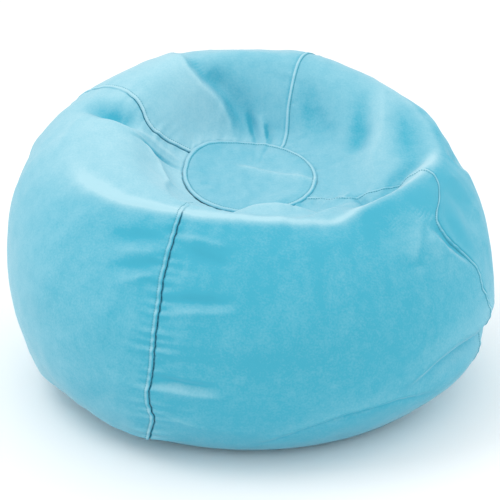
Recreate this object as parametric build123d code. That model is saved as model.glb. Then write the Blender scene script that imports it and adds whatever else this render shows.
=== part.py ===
from build123d import *

import os
from math import ceil, cos, degrees, radians, sin, sqrt, tan

# A bean bag chair: a sewn cover of four side panels, a round seat cap and a
# two-piece base, zipped shut underneath, round a zipped liner full of beads.
# Millimetres and degrees. Z is up, the floor is z = 0, and the sitter faces -Y.

# The bag's shape, at eight places round it. The rim is the ridge round the seat,
# and the belly is where the bag is widest. A small roll gives the rim a sharp
# crest, and the seat swells or sags just outside its cap.
FRONT_RIM_RADIUS = 222
FRONT_RIM_HEIGHT = 368
FRONT_BELLY_RADIUS = 388
FRONT_BELLY_HEIGHT = 200
FRONT_RIM_ROLL = 0.24
FRONT_SEAT_SWELL = -14
FRONT_RIGHT_RIM_RADIUS = 266
FRONT_RIGHT_RIM_HEIGHT = 366
FRONT_RIGHT_BELLY_RADIUS = 396
FRONT_RIGHT_BELLY_HEIGHT = 172
FRONT_RIGHT_RIM_ROLL = 0.22
FRONT_RIGHT_SEAT_SWELL = -12
RIGHT_RIM_RADIUS = 296
RIGHT_RIM_HEIGHT = 378
RIGHT_BELLY_RADIUS = 401
RIGHT_BELLY_HEIGHT = 165
RIGHT_RIM_ROLL = 0.42
RIGHT_SEAT_SWELL = 0
BACK_RIGHT_RIM_RADIUS = 256
BACK_RIGHT_RIM_HEIGHT = 456
BACK_RIGHT_BELLY_RADIUS = 394
BACK_RIGHT_BELLY_HEIGHT = 200
BACK_RIGHT_RIM_ROLL = 0.54
BACK_RIGHT_SEAT_SWELL = -4
BACK_RIM_RADIUS = 212
BACK_RIM_HEIGHT = 500
BACK_BELLY_RADIUS = 388
BACK_BELLY_HEIGHT = 220
BACK_RIM_ROLL = 0.55
BACK_SEAT_SWELL = -12
BACK_LEFT_RIM_RADIUS = 218
BACK_LEFT_RIM_HEIGHT = 486
BACK_LEFT_BELLY_RADIUS = 394
BACK_LEFT_BELLY_HEIGHT = 232
BACK_LEFT_RIM_ROLL = 0.55
BACK_LEFT_SEAT_SWELL = 8
LEFT_RIM_RADIUS = 236
LEFT_RIM_HEIGHT = 441
LEFT_BELLY_RADIUS = 400
LEFT_BELLY_HEIGHT = 238
LEFT_RIM_ROLL = 0.5
LEFT_SEAT_SWELL = 20
FRONT_LEFT_RIM_RADIUS = 230
FRONT_LEFT_RIM_HEIGHT = 392
FRONT_LEFT_BELLY_RADIUS = 396
FRONT_LEFT_BELLY_HEIGHT = 215
FRONT_LEFT_RIM_ROLL = 0.34
FRONT_LEFT_SEAT_SWELL = 16
FRONT_AZIMUTH = -90
SECTION_STEP = 8

# How full each stretch of a side panel is, as a share of its span.
SEAT_FULLNESS = 0.45
SHOULDER_FULLNESS = 0.62
SKIRT_FULLNESS = 0.62
HEM_FULLNESS = 0.5

CAP_RADIUS = 108
CAP_HEIGHT = 345
CAP_TILT = 10
BASE_RADIUS = 322
BASE_BEND_RADIUS = 85
BASE_SLOPE = 40

# Cloth, and how the layers lie in each other.
COVER_CLOTH = 1.2
LINER_CLOTH = 0.6
LAYER_GAP = 0.4
SEAM_GAP = 0.1
LINER_INSET = COVER_CLOTH + LAYER_GAP
FILL_INSET = LINER_INSET + LINER_CLOTH + LAYER_GAP

# The cover's seams, each where a panel starts, going round to the left.
SEAMS = {"front_seam": -113, "right_seam": -22, "back_seam": 64, "left_seam": 161}
PANELS = ("front_panel", "right_panel", "back_panel", "left_panel")
LINER_HALVES = {"liner_back_half": 0, "liner_front_half": 180}

# Top stitching: a thread laid beside each seam.
THREAD_WIDTH = 0.9
THREAD_HEIGHT = 0.4
THREAD_LIFT = 0.15
STITCH_MARGIN = 6

# Zips: woven tapes inside the cloth, teeth on their outer face, in a recess of
# the base so that they don't meet the floor.
COVER_ZIP_Y = 0
COVER_ZIP_ROOM = 38
LINER_ZIP_Y = 120
LINER_ZIP_ROOM = 20
ZIP_EDGE_MARGIN = 20
ZIP_DEPTH = 9
ZIP_LIP = 18
ZIP_CORNER = 24
ZIP_SLOT = 8
ZIP_SLOT_END = 12
ZIP_CLEARANCE = 13.2
ZIP_TAPE_TAIL = 16
TAPE_WIDTH = 14.4
TAPE_THICKNESS = 0.7
TAPE_SPLIT = 3.2
TEETH_WIDTH = 6
TEETH_THICKNESS = 2.2
TEETH_PITCH = 2.5
TEETH_CORD = 1
TEETH_GAP = 0.2
STOP_LENGTH = 3.5
STOP_THICKNESS = 1
STOP_NECK = 1

SLIDER_LENGTH = 11
SLIDER_WIDTH = 9
SLIDER_PLATE = 1.4
SLIDER_GAP = 0.3
SLIDER_FLANGE = 1
SLIDER_CORNER = 2
WEDGE_WIDTH = 2.6
WEDGE_LENGTH = 4
BRIDGE_WIDTH = 1.8
BRIDGE_THICKNESS = 1
BRIDGE_WINDOW = 5
BRIDGE_DROP = 2.2

PULL_LENGTH = 26
PULL_WIDTH = 6.4
PULL_THICKNESS = 1.3
PULL_CORNER = 2.4
PULL_WINDOW = 4.8
PULL_SIDE_GAP = 0.4
PULL_BAR_RADIUS = 0.7

# The middle of the beads, lapped by the lofts round it.
CORE_RADIUS = 40
CORE_LAP = 2
CORE_SINK = 0.3

# Each measure round the bag, from the front by way of the right.
RIM_RADIUS = (
    FRONT_RIM_RADIUS, FRONT_RIGHT_RIM_RADIUS, RIGHT_RIM_RADIUS, BACK_RIGHT_RIM_RADIUS,
    BACK_RIM_RADIUS, BACK_LEFT_RIM_RADIUS, LEFT_RIM_RADIUS, FRONT_LEFT_RIM_RADIUS,
)
RIM_HEIGHT = (
    FRONT_RIM_HEIGHT, FRONT_RIGHT_RIM_HEIGHT, RIGHT_RIM_HEIGHT, BACK_RIGHT_RIM_HEIGHT,
    BACK_RIM_HEIGHT, BACK_LEFT_RIM_HEIGHT, LEFT_RIM_HEIGHT, FRONT_LEFT_RIM_HEIGHT,
)
BELLY_RADIUS = (
    FRONT_BELLY_RADIUS, FRONT_RIGHT_BELLY_RADIUS, RIGHT_BELLY_RADIUS, BACK_RIGHT_BELLY_RADIUS,
    BACK_BELLY_RADIUS, BACK_LEFT_BELLY_RADIUS, LEFT_BELLY_RADIUS, FRONT_LEFT_BELLY_RADIUS,
)
BELLY_HEIGHT = (
    FRONT_BELLY_HEIGHT, FRONT_RIGHT_BELLY_HEIGHT, RIGHT_BELLY_HEIGHT, BACK_RIGHT_BELLY_HEIGHT,
    BACK_BELLY_HEIGHT, BACK_LEFT_BELLY_HEIGHT, LEFT_BELLY_HEIGHT, FRONT_LEFT_BELLY_HEIGHT,
)
RIM_ROLL = (
    FRONT_RIM_ROLL, FRONT_RIGHT_RIM_ROLL, RIGHT_RIM_ROLL, BACK_RIGHT_RIM_ROLL,
    BACK_RIM_ROLL, BACK_LEFT_RIM_ROLL, LEFT_RIM_ROLL, FRONT_LEFT_RIM_ROLL,
)
SEAT_SWELL = (
    FRONT_SEAT_SWELL, FRONT_RIGHT_SEAT_SWELL, RIGHT_SEAT_SWELL, BACK_RIGHT_SEAT_SWELL,
    BACK_SEAT_SWELL, BACK_LEFT_SEAT_SWELL, LEFT_SEAT_SWELL, FRONT_LEFT_SEAT_SWELL,
)

BASE_HEIGHT = BASE_BEND_RADIUS * (1 - cos(radians(BASE_SLOPE)))
FLAT_RADIUS = BASE_RADIUS - BASE_BEND_RADIUS * sin(radians(BASE_SLOPE))
LINER_ZIP_DEPTH = ZIP_DEPTH + COVER_CLOTH - LINER_CLOTH - LINER_INSET
ZIP_REACH = FLAT_RADIUS - ZIP_EDGE_MARGIN
COVER_ZIP_LENGTH = 2 * (ZIP_REACH - COVER_ZIP_ROOM - ZIP_DEPTH)
LINER_ZIP_CHORD = sqrt(ZIP_REACH**2 - (LINER_ZIP_Y + ZIP_LIP + LINER_ZIP_DEPTH) ** 2)
LINER_ZIP_LENGTH = 2 * (LINER_ZIP_CHORD - LINER_ZIP_ROOM - LINER_ZIP_DEPTH)
TEETH_FLOOR = -TEETH_THICKNESS - SLIDER_GAP
SLIDER_FLOOR = TEETH_FLOOR - SLIDER_PLATE


def around(compass, azimuth):
    """The value at an azimuth, on a smooth closed wave through eight values."""
    count = len(compass)
    total = 0
    for i, value in enumerate(compass):
        turn = radians(azimuth - FRONT_AZIMUTH - 360 * i / count)
        near = abs(sin(turn / 2)) < 1e-9
        total += value if near else value * sin(count / 2 * turn) / (count * tan(turn / 2))
    return total


def cap_rise(azimuth):
    """How fast the seat cap's plane climbs going outwards at an azimuth."""
    return tan(radians(CAP_TILT)) * sin(radians(azimuth))


def side_curves(azimuth, inset):
    """Control points (r, z) of a side panel's three stretches, this far inside the cover."""
    rise = cap_rise(azimuth)
    out, up = cos(radians(BASE_SLOPE)), sin(radians(BASE_SLOPE))
    cap = (CAP_RADIUS, CAP_HEIGHT + CAP_RADIUS * rise - inset)
    rim = (around(RIM_RADIUS, azimuth), around(RIM_HEIGHT, azimuth) - inset)
    belly = (around(BELLY_RADIUS, azimuth) - inset, around(BELLY_HEIGHT, azimuth))
    base = (BASE_RADIUS - inset * up, BASE_HEIGHT + inset * out)
    seat = SEAT_FULLNESS * (rim[0] - cap[0])
    swell = seat * rise + around(SEAT_SWELL, azimuth)
    roll = around(RIM_ROLL, azimuth)
    drop = SHOULDER_FULLNESS * (rim[1] - belly[1])
    skirt = SKIRT_FULLNESS * (belly[1] - base[1])
    hem = HEM_FULLNESS * (belly[0] - base[0]) / out
    return (
        (cap, (cap[0] + seat, cap[1] + swell), (rim[0] - roll * (rim[0] - cap[0]), rim[1]), rim),
        (rim, (rim[0] + roll * (belly[0] - rim[0]), rim[1]), (belly[0], belly[1] + drop), belly),
        (belly, (belly[0], belly[1] - skirt), (base[0] + hem * out, base[1] + hem * up), base),
    )


def upright(azimuth, r, z):
    """A point of the upright half plane at an azimuth."""
    return Vector(r * cos(radians(azimuth)), r * sin(radians(azimuth)), z)


def side_edges(azimuth, inset):
    """A side panel's line from seat cap to base seam, this far inside the cover."""
    return [Bezier(*(upright(azimuth, *p) for p in curve)) for curve in side_curves(azimuth, inset)]


def base_bend(azimuth, inset, top=BASE_SLOPE, bottom=0):
    """The arc the base turns up through, between two of its slopes."""
    radius = BASE_BEND_RADIUS - inset
    slopes = (radians(a) for a in (top, (top + bottom) / 2, bottom))
    return ThreePointArc(
        *(upright(azimuth, FLAT_RADIUS + radius * sin(a), BASE_BEND_RADIUS - radius * cos(a)) for a in slopes)
    )


def band_section(azimuth, outer, inner):
    """The closed outline of a layer from seat cap to base seam, between two insets."""
    outside, inside = side_edges(azimuth, outer), side_edges(azimuth, inner)
    hem = Line(outside[-1] @ 1, inside[-1] @ 1)
    top = Line(inside[0] @ 0, outside[0] @ 0)
    return Wire([*outside, hem, *inside, top])


def fill_section(azimuth):
    """The closed outline of the beads from their core out to the liner."""
    side = side_edges(azimuth, FILL_INSET)
    bend = base_bend(azimuth, FILL_INSET)
    top = upright(azimuth, CORE_RADIUS, CAP_HEIGHT + CORE_RADIUS * cap_rise(azimuth) - FILL_INSET)
    floor = upright(azimuth, CORE_RADIUS, FILL_INSET)
    return Wire([Line(top, side[0] @ 0), *side, bend, Line(bend @ 1, floor), Line(floor, top)])


def swing(start, end, section):
    """A loft of a section round the bag from one azimuth to another."""
    steps = ceil((end - start) / SECTION_STEP)
    return Solid.make_loft([section(start + (end - start) * i / steps) for i in range(steps + 1)])


def cap_plane(depth):
    """The seat cap's sloping plane, this far below its upper face."""
    return Plane((0, 0, CAP_HEIGHT - depth), z_dir=(0, -sin(radians(CAP_TILT)), cos(radians(CAP_TILT))))


def cap_slab(radius, top, bottom):
    """A round plate under the seat cap's upper face, between two depths."""
    disc = Pos(0, 0, CAP_HEIGHT) * Cylinder(radius, 2 * radius)
    disc = split(disc, bisect_by=cap_plane(top), keep=Keep.BOTTOM)
    return split(disc, bisect_by=cap_plane(bottom), keep=Keep.TOP)


def base_pan(outer, inner):
    """The round base with its turned-up edge, between two insets, just short of the side panels."""
    end = BASE_SLOPE - degrees(SEAM_GAP / BASE_BEND_RADIUS)
    outside, inside = base_bend(0, outer, end), base_bend(0, inner, end)
    below, above = Vector(0, 0, outer), Vector(0, 0, inner)
    edge = Line(outside @ 0, inside @ 0)
    outline = [outside, Line(outside @ 1, below), Line(below, above), Line(above, inside @ 1), inside, edge]
    return revolve(make_face(Wire(outline)), Axis.Z)


def recess(y, floor, depth, half_length, half_width):
    """The sloping-sided hollow over a zip, from its wide mouth up to the size given."""
    mouth = RectangleRounded(2 * (half_length + depth), 2 * (half_width + depth), ZIP_CORNER)
    return Pos(0, y, floor) * extrude(mouth, depth, taper=45)


def bar(x, y, z):
    """A box between two values along each axis."""
    size = [high - low for low, high in (x, y, z)]
    return Pos(x[0], y[0], z[0]) * Box(*size, align=(Align.MIN, Align.MIN, Align.MIN))


def teeth_row(side, length):
    """One row of teeth as a comb from its cord across to the other row, below z = 0."""
    outer = TEETH_WIDTH / 2
    cord = outer - TEETH_CORD
    tip = 2 * TEETH_GAP - cord
    tooth = TEETH_PITCH / 2 - TEETH_GAP
    start = -length / 2 + (side + 1) / 4 * TEETH_PITCH
    outline = [(-length / 2, outer), (-length / 2, cord)]
    for i in range(int(length / TEETH_PITCH)):
        left = start + i * TEETH_PITCH
        outline += [(left, cord), (left, tip), (left + tooth, tip), (left + tooth, cord)]
    outline += [(length / 2, cord), (length / 2, outer)]
    corners = dict.fromkeys((x, side * y) for x, y in outline)
    return extrude(make_face(Polyline(*corners, close=True)), TEETH_THICKNESS, dir=(0, 0, -1))


def slider_body():
    """Two plates on a wedge, with flanges beside the teeth and a bridge below for the pull."""
    half = SLIDER_LENGTH / 2
    top = TAPE_THICKNESS + SLIDER_GAP
    plate = RectangleRounded(SLIDER_LENGTH, SLIDER_WIDTH, SLIDER_CORNER)
    body = Pos(0, 0, top) * extrude(plate, SLIDER_PLATE)
    body += Pos(0, 0, SLIDER_FLOOR) * extrude(plate, SLIDER_PLATE)
    body += bar((half - WEDGE_LENGTH, half), (-WEDGE_WIDTH / 2, WEDGE_WIDTH / 2), (TEETH_FLOOR, top))
    near = TEETH_WIDTH / 2 + SLIDER_GAP
    for side in (-1, 1):
        across = sorted((side * near, side * (near + SLIDER_FLANGE)))
        along = (SLIDER_CORNER - half, half - SLIDER_CORNER)
        body += bar(along, across, (TEETH_FLOOR, TEETH_FLOOR + SLIDER_FLANGE))
    leg = BRIDGE_WINDOW / 2 + BRIDGE_THICKNESS
    across = (-BRIDGE_WIDTH / 2, BRIDGE_WIDTH / 2)
    window_floor = SLIDER_FLOOR - BRIDGE_DROP
    bridge = bar((-leg, leg), across, (window_floor - BRIDGE_THICKNESS, SLIDER_FLOOR))
    return body + bridge - bar((-BRIDGE_WINDOW / 2, BRIDGE_WINDOW / 2), across, (window_floor, SLIDER_FLOOR))


def pull_tab():
    """A flat tab lying back along the zip, its cross bar through the slider's bridge."""
    level = SLIDER_FLOOR - BRIDGE_DROP / 2
    side = BRIDGE_WIDTH / 2 + PULL_SIDE_GAP
    outline = RectangleRounded(PULL_LENGTH + PULL_BAR_RADIUS, PULL_WIDTH, PULL_CORNER)
    tab = Pos((PULL_BAR_RADIUS - PULL_LENGTH) / 2, 0, level) * extrude(outline, PULL_THICKNESS / 2, both=True)
    tab -= bar((-PULL_WINDOW, PULL_WINDOW), (-side, side), (level - PULL_THICKNESS, level + PULL_THICKNESS))
    return tab + Pos(0, 0, level) * Rot(90, 0, 0) * Cylinder(PULL_BAR_RADIUS, 2 * side + PULL_SIDE_GAP)


def zip_pieces(prefix, length):
    """A zip's tapes, teeth, slider and stops round its own middle, tapes on z = 0, closed to +X."""
    pieces = {}
    inner = TAPE_SPLIT / 2
    reach = length / 2 + ZIP_TAPE_TAIL
    rows = {"front": -1, "back": 1}
    tapes = [
        bar((-reach, reach), sorted((side * inner, side * (inner + TAPE_WIDTH))), (0, TAPE_THICKNESS))
        for side in rows.values()
    ]
    for (name, side), tape in zip(rows.items(), tapes):
        pieces[f"{prefix}_tape_{name}"] = tape
        pieces[f"{prefix}_teeth_{name}"] = teeth_row(side, length)
    slider_x = length / 2 + TEETH_GAP + WEDGE_LENGTH - SLIDER_LENGTH / 2
    pieces[f"{prefix}_slider"] = Pos(slider_x, 0, 0) * slider_body()
    deep = (-STOP_THICKNESS, TAPE_THICKNESS + STOP_THICKNESS)
    wide = TEETH_WIDTH / 2
    first = slider_x + SLIDER_LENGTH / 2 + SLIDER_GAP
    last = -length / 2 - SLIDER_GAP
    stops = [bar((last - STOP_LENGTH, last), (-wide, wide), deep)]
    for side in rows.values():
        stops.append(bar((first, first + STOP_LENGTH), sorted((side * STOP_NECK, side * wide)), deep))
    pieces[f"{prefix}_stops"] = Compound([solid for stop in stops for solid in (stop - tapes).solids()])
    return pieces, slider_x


parts = {}
seam_starts = list(SEAMS.values())
seam_ends = [*seam_starts[1:], seam_starts[0] + 360]

# The cover: cap, four side panels, and the base with its zip's recess and slot.
parts["seat_cap"] = cap_slab(CAP_RADIUS - SEAM_GAP, 0, COVER_CLOTH)
for name, start, end in zip(PANELS, seam_starts, seam_ends):
    parts[name] = swing(start, end, lambda a: band_section(a, 0, COVER_CLOTH))

zip_half = COVER_ZIP_LENGTH / 2 + COVER_ZIP_ROOM
cover_base = base_pan(0, COVER_CLOTH)
cover_base += recess(COVER_ZIP_Y, COVER_CLOTH, ZIP_DEPTH, zip_half, ZIP_LIP)
cover_base -= recess(COVER_ZIP_Y, 0, ZIP_DEPTH, zip_half, ZIP_LIP)
slot_half = COVER_ZIP_LENGTH / 2 + ZIP_SLOT_END
tall = (0, 4 * ZIP_DEPTH)
slot = (COVER_ZIP_Y - ZIP_SLOT / 2, COVER_ZIP_Y + ZIP_SLOT / 2)
cover_base -= bar((-slot_half, slot_half), slot, tall)
middle = Plane.XZ.offset(-COVER_ZIP_Y)
parts["base_front_half"] = split(cover_base, bisect_by=middle, keep=Keep.TOP)
parts["base_back_half"] = split(cover_base, bisect_by=middle, keep=Keep.BOTTOM)

# Top stitching, laid on the cloth: beside each side seam, inside the cap's edge,
# under the base seam and along the zip.
thread_out, thread_in = -THREAD_LIFT - THREAD_HEIGHT, -THREAD_LIFT
for name, azimuth in SEAMS.items():
    far = azimuth - degrees(STITCH_MARGIN / BASE_RADIUS)
    near = far - degrees(THREAD_WIDTH / BASE_RADIUS)
    ribbon = [band_section(a, thread_out, thread_in) for a in (near, (near + far) / 2, far)]
    parts[f"{name}_stitching"] = Solid.make_loft(ribbon)

stitch_radius = CAP_RADIUS - STITCH_MARGIN
parts["cap_stitching"] = cap_slab(stitch_radius, thread_out, thread_in) - Cylinder(
    stitch_radius - THREAD_WIDTH, 4 * CAP_HEIGHT
)

stitch_end = BASE_SLOPE - degrees(STITCH_MARGIN / BASE_BEND_RADIUS)
stitch_start = stitch_end - degrees(THREAD_WIDTH / BASE_BEND_RADIUS)
outside = base_bend(0, thread_out, stitch_end, stitch_start)
inside = base_bend(0, thread_in, stitch_end, stitch_start)
outline = [outside, Line(outside @ 1, inside @ 1), inside, Line(inside @ 0, outside @ 0)]
parts["base_seam_stitching"] = revolve(make_face(Wire(outline)), Axis.Z)

run = (-COVER_ZIP_LENGTH / 2, COVER_ZIP_LENGTH / 2)
row = ZIP_SLOT / 2 + STITCH_MARGIN
rows = [sorted((s * row, s * (row + THREAD_WIDTH))) for s in (-1, 1)]
below_lip = (ZIP_DEPTH - THREAD_HEIGHT, ZIP_DEPTH)
parts["zip_stitching"] = Compound([bar(run, across, below_lip).solid() for across in rows])

# The cover's zip, its tapes on the inside of the recess, and its pull tab.
zip_place = Pos(0, COVER_ZIP_Y, ZIP_DEPTH + COVER_CLOTH)
pieces, slider_x = zip_pieces("zip", COVER_ZIP_LENGTH)
pieces["zip_pull"] = Pos(slider_x, 0, 0) * pull_tab()
for name, piece in pieces.items():
    parts[name] = zip_place * piece

# The liner inside the cover, arched over the cover's zip, with a shorter zip of its own.
parts["liner_top"] = cap_slab(CAP_RADIUS - SEAM_GAP, LINER_INSET, LINER_INSET + LINER_CLOTH)
for name, start in LINER_HALVES.items():
    liner_side = lambda a: band_section(a, LINER_INSET, LINER_INSET + LINER_CLOTH)
    parts[name] = swing(start, start + 180, liner_side)

liner_zip_half = LINER_ZIP_LENGTH / 2 + LINER_ZIP_ROOM
arch = (ZIP_CLEARANCE - LINER_INSET, zip_half, ZIP_LIP)
liner_base = base_pan(LINER_INSET, LINER_INSET + LINER_CLOTH)
for y, hollow in ((COVER_ZIP_Y, arch), (LINER_ZIP_Y, (LINER_ZIP_DEPTH, liner_zip_half, ZIP_LIP))):
    liner_base += recess(y, LINER_INSET + LINER_CLOTH, *hollow)
    liner_base -= recess(y, LINER_INSET, *hollow)
slot_half = LINER_ZIP_LENGTH / 2 + ZIP_SLOT_END
slot = (LINER_ZIP_Y - ZIP_SLOT / 2, LINER_ZIP_Y + ZIP_SLOT / 2)
liner_base -= bar((-slot_half, slot_half), slot, tall)
middle = Plane.XZ.offset(-LINER_ZIP_Y)
parts["liner_base_front"] = split(liner_base, bisect_by=middle, keep=Keep.TOP)
parts["liner_base_back"] = split(liner_base, bisect_by=middle, keep=Keep.BOTTOM)

zip_place = Pos(0, LINER_ZIP_Y, ZIP_DEPTH + COVER_CLOTH)
pieces, slider_x = zip_pieces("liner_zip", LINER_ZIP_LENGTH)
for name, piece in pieces.items():
    parts[name] = zip_place * piece

# The beads: the room left inside the liner, hollowed over both zips.
core = Cylinder(CORE_RADIUS + CORE_LAP, 2 * CAP_HEIGHT, align=(Align.CENTER, Align.CENTER, Align.MIN))
core = Pos(0, 0, FILL_INSET + CORE_SINK) * core
fill = split(core, bisect_by=cap_plane(FILL_INSET + CORE_SINK), keep=Keep.BOTTOM)
for start, end in zip(seam_starts, seam_ends):
    fill += swing(start, end, fill_section)
over_cover_zip = ZIP_CLEARANCE + LINER_CLOTH + LAYER_GAP - FILL_INSET
fill -= recess(COVER_ZIP_Y, FILL_INSET, over_cover_zip, zip_half, ZIP_LIP)
fill -= recess(LINER_ZIP_Y, FILL_INSET, ZIP_CLEARANCE - FILL_INSET, liner_zip_half, ZIP_LIP)
parts["bead_fill"] = fill

os.makedirs("parts", exist_ok=True)
for name, shape in parts.items():
    export_step(shape, f"parts/{name}.step")
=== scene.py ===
import math

import bmesh
import bpy
import numpy as np
from mathutils import Matrix, Vector, noise
from mathutils.bvhtree import BVHTree


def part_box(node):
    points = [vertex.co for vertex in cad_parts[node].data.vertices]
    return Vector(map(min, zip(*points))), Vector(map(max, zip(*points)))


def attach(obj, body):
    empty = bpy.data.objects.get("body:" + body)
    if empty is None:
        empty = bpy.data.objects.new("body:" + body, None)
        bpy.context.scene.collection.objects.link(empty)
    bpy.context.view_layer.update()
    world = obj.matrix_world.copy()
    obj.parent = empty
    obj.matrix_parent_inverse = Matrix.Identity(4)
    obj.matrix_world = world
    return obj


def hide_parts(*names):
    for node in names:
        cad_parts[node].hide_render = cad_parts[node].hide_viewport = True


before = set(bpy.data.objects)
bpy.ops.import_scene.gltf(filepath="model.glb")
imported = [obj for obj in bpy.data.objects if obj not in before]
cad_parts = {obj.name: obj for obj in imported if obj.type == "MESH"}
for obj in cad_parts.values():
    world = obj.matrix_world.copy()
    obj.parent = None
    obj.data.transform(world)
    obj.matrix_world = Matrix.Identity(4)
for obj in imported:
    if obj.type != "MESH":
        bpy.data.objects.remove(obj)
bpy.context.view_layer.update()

# The camera stands in front of the bag and a little above it, far enough off
# that a long lens takes in just the bag.
camera_rise = math.radians(23)
camera_distance = 3.2
camera_aim = Vector((-0.0017, 0, 0.2173))
width_in_view = 0.8265


def placed(name, data):
    """A new object in the scene, for a mesh, a light or the camera."""
    thing = bpy.data.objects.new(name, data)
    bpy.context.scene.collection.objects.link(thing)
    return thing


camera_data = bpy.data.cameras.new("camera")
camera_data.lens = camera_data.sensor_width * camera_distance / width_in_view
camera = placed("camera", camera_data)
camera_way = Vector((0, -math.cos(camera_rise), math.sin(camera_rise)))
camera.location = camera_aim + camera_distance * camera_way
camera.rotation_euler = (math.pi / 2 - camera_rise, 0, 0)
bpy.context.scene.camera = camera
bpy.context.scene.view_settings.view_transform = "Standard"

# A white studio: a pale floor that runs out of view, a big soft light high on
# the left, a weaker one on the right, and pale walls all round.
floor_size = 12
floor_tone = (0.96, 0.96, 0.96, 1)
wall_light = 1.06
light_aim = Vector((0, 0, 0.25))


def shader_of(name):
    """A new material, with its node tree and its shader."""
    material = bpy.data.materials.new(name)
    material.use_nodes = True
    tree = material.node_tree
    return material, tree, tree.nodes["Principled BSDF"]


floor_mesh = bpy.data.meshes.new("studio_floor")
shape = bmesh.new()
bmesh.ops.create_grid(shape, x_segments=1, y_segments=1, size=floor_size / 2)
shape.to_mesh(floor_mesh)
shape.free()
floor = placed("studio_floor", floor_mesh)
floor_paint, tree, shader = shader_of("pale_floor")
shader.inputs["Base Color"].default_value = floor_tone
shader.inputs["Roughness"].default_value = 0.9
floor_mesh.materials.append(floor_paint)

world = bpy.data.worlds.new("studio_walls")
world.use_nodes = True
walls = world.node_tree.nodes["Background"]
walls.inputs["Color"].default_value = (1, 1, 1, 1)
walls.inputs["Strength"].default_value = wall_light
bpy.context.scene.world = world


def soft_light(name, place, size, power):
    """A square soft box that faces the middle of the bag."""
    data = bpy.data.lights.new(name, "AREA")
    data.size = size
    data.energy = power
    light = placed(name, data)
    light.location = place
    light.rotation_euler = (light_aim - Vector(place)).to_track_quat("-Z", "Y").to_euler()


soft_light("key_light", (-1.4, -0.4, 2.7), 1.2, 17)
soft_light("right_light", (2.2, 0.4, 1.4), 1.5, 8)

# The cover's form is read from the solids: on each upright half plane, rays from
# inside the bag find the side's line from the seat cap down to the base seam.
cloth = 0.0012
panel_names = ("front_panel", "right_panel", "back_panel", "left_panel")
corners, faces = [], []
for name in panel_names:
    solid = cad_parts[name].data
    faces += [[len(corners) + i for i in polygon.vertices] for polygon in solid.polygons]
    corners += [vertex.co.copy() for vertex in solid.vertices]
side_solids = BVHTree.FromPolygons(corners, faces)

cap_low, cap_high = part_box("seat_cap")
base_low, base_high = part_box("base_front_half")
cap_radius = (cap_high.x - cap_low.x) / 2
cap_rise = (cap_high.z - cap_low.z - cloth) / (2 * cap_radius)
cap_middle = cap_high.z - cap_radius * cap_rise
base_radius = (base_high.x - base_low.x) / 2
base_edge = base_high.z

form_steps = 241
ray_count, grazing_rays = 260, 2
form_azimuths = np.arange(0, 360)
form_shares = np.linspace(0, 1, form_steps)
form_radius = np.zeros((len(form_azimuths), len(form_shares)))
form_height = np.zeros_like(form_radius)
form_length = np.zeros(len(form_azimuths))
heart_radius, heart_height = 0.235, 0.22


def run_along(path):
    """How far along a path each of its points is."""
    return np.concatenate([[0], np.cumsum(np.linalg.norm(np.diff(path, axis=0), axis=1))])


for i, azimuth in enumerate(form_azimuths):
    out = Vector((math.cos(math.radians(azimuth)), math.sin(math.radians(azimuth)), 0))
    heart = heart_radius * out + Vector((0, 0, heart_height))
    edge_height = cap_middle + cap_radius * cap_rise * out.y
    first = math.atan2(edge_height - heart_height, cap_radius - heart_radius)
    last = math.atan2(base_edge - heart_height, base_radius - heart_radius)
    line = [(cap_radius, edge_height)]
    for angle in np.linspace(first, last, ray_count)[grazing_rays:-grazing_rays]:
        way = math.cos(angle) * out + math.sin(angle) * Vector((0, 0, 1))
        hit = side_solids.ray_cast(heart, way)[0]
        if hit is not None:
            hit += cloth * way
            line.append((hit.dot(out), hit.z))
    line.append((base_radius, base_edge))
    line = np.array(line)
    run = run_along(line)
    form_length[i] = run[-1]
    form_radius[i] = np.interp(form_shares * run[-1], run, line[:, 0])
    form_height[i] = np.interp(form_shares * run[-1], run, line[:, 1])


def form_at(azimuth, share):
    """Points of the plain form at azimuths in degrees and shares of the way down the side."""
    turn = np.mod(azimuth, 360)
    i = np.floor(turn).astype(int) % 360
    across = turn - np.floor(turn)
    down = np.clip(share, 0, 1) * (form_steps - 1)
    j = np.minimum(np.floor(down).astype(int), form_steps - 2)
    along = down - j
    found = []
    for values in (form_radius, form_height):
        near = values[i, j] * (1 - along) + values[i, j + 1] * along
        far = values[(i + 1) % 360, j] * (1 - along) + values[(i + 1) % 360, j + 1] * along
        found.append(near * (1 - across) + far * across)
    angle = np.radians(azimuth)
    return np.stack([found[0] * np.cos(angle), found[0] * np.sin(angle), found[1]], axis=-1)


# Four seams run from the seat cap over the rim and down to the base. Each is an
# azimuth at a few shares of the way down. The cloth between two is one panel.
seam_lines = {
    "front_seam": (
        (0, -116.5), (0.25, -115.5), (0.285, -114.2), (0.37, -112.7), (0.47, -112), (0.53, -111.3),
        (0.62, -111.5), (0.69, -112), (0.73, -112.6), (0.78, -113.6), (0.83, -113.8), (0.86, -113),
        (0.91, -115), (1, -119),
    ),
    "right_seam": (
        (0, -33), (0.1, -26), (0.2, -15), (0.28, -9), (0.31, -10), (0.345, -17), (0.37, -26),
        (0.39, -31), (0.45, -30), (0.515, -26), (0.58, -22.5), (0.614, -23), (0.68, -19),
        (0.75, -17), (1, -17),
    ),
    "back_seam": ((0, 64), (0.1, 68), (0.25, 68), (0.6, 67), (1, 65)),
    "left_seam": (
        (0, 146), (0.028, 151.5), (0.05, 156), (0.08, 160.5), (0.11, 165), (0.14, 166),
        (0.167, 162.5), (0.193, 160.5), (0.22, 159.5), (0.25, 157), (0.28, 156), (0.35, 154),
        (0.5, 156), (0.8, 160), (1, 162),
    ),
}
columns_per_panel = (103, 79, 101, 77)
rows = 112
row_shares = np.linspace(0, 1, rows)
line_steps = 401
easing_passes = 60


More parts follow.
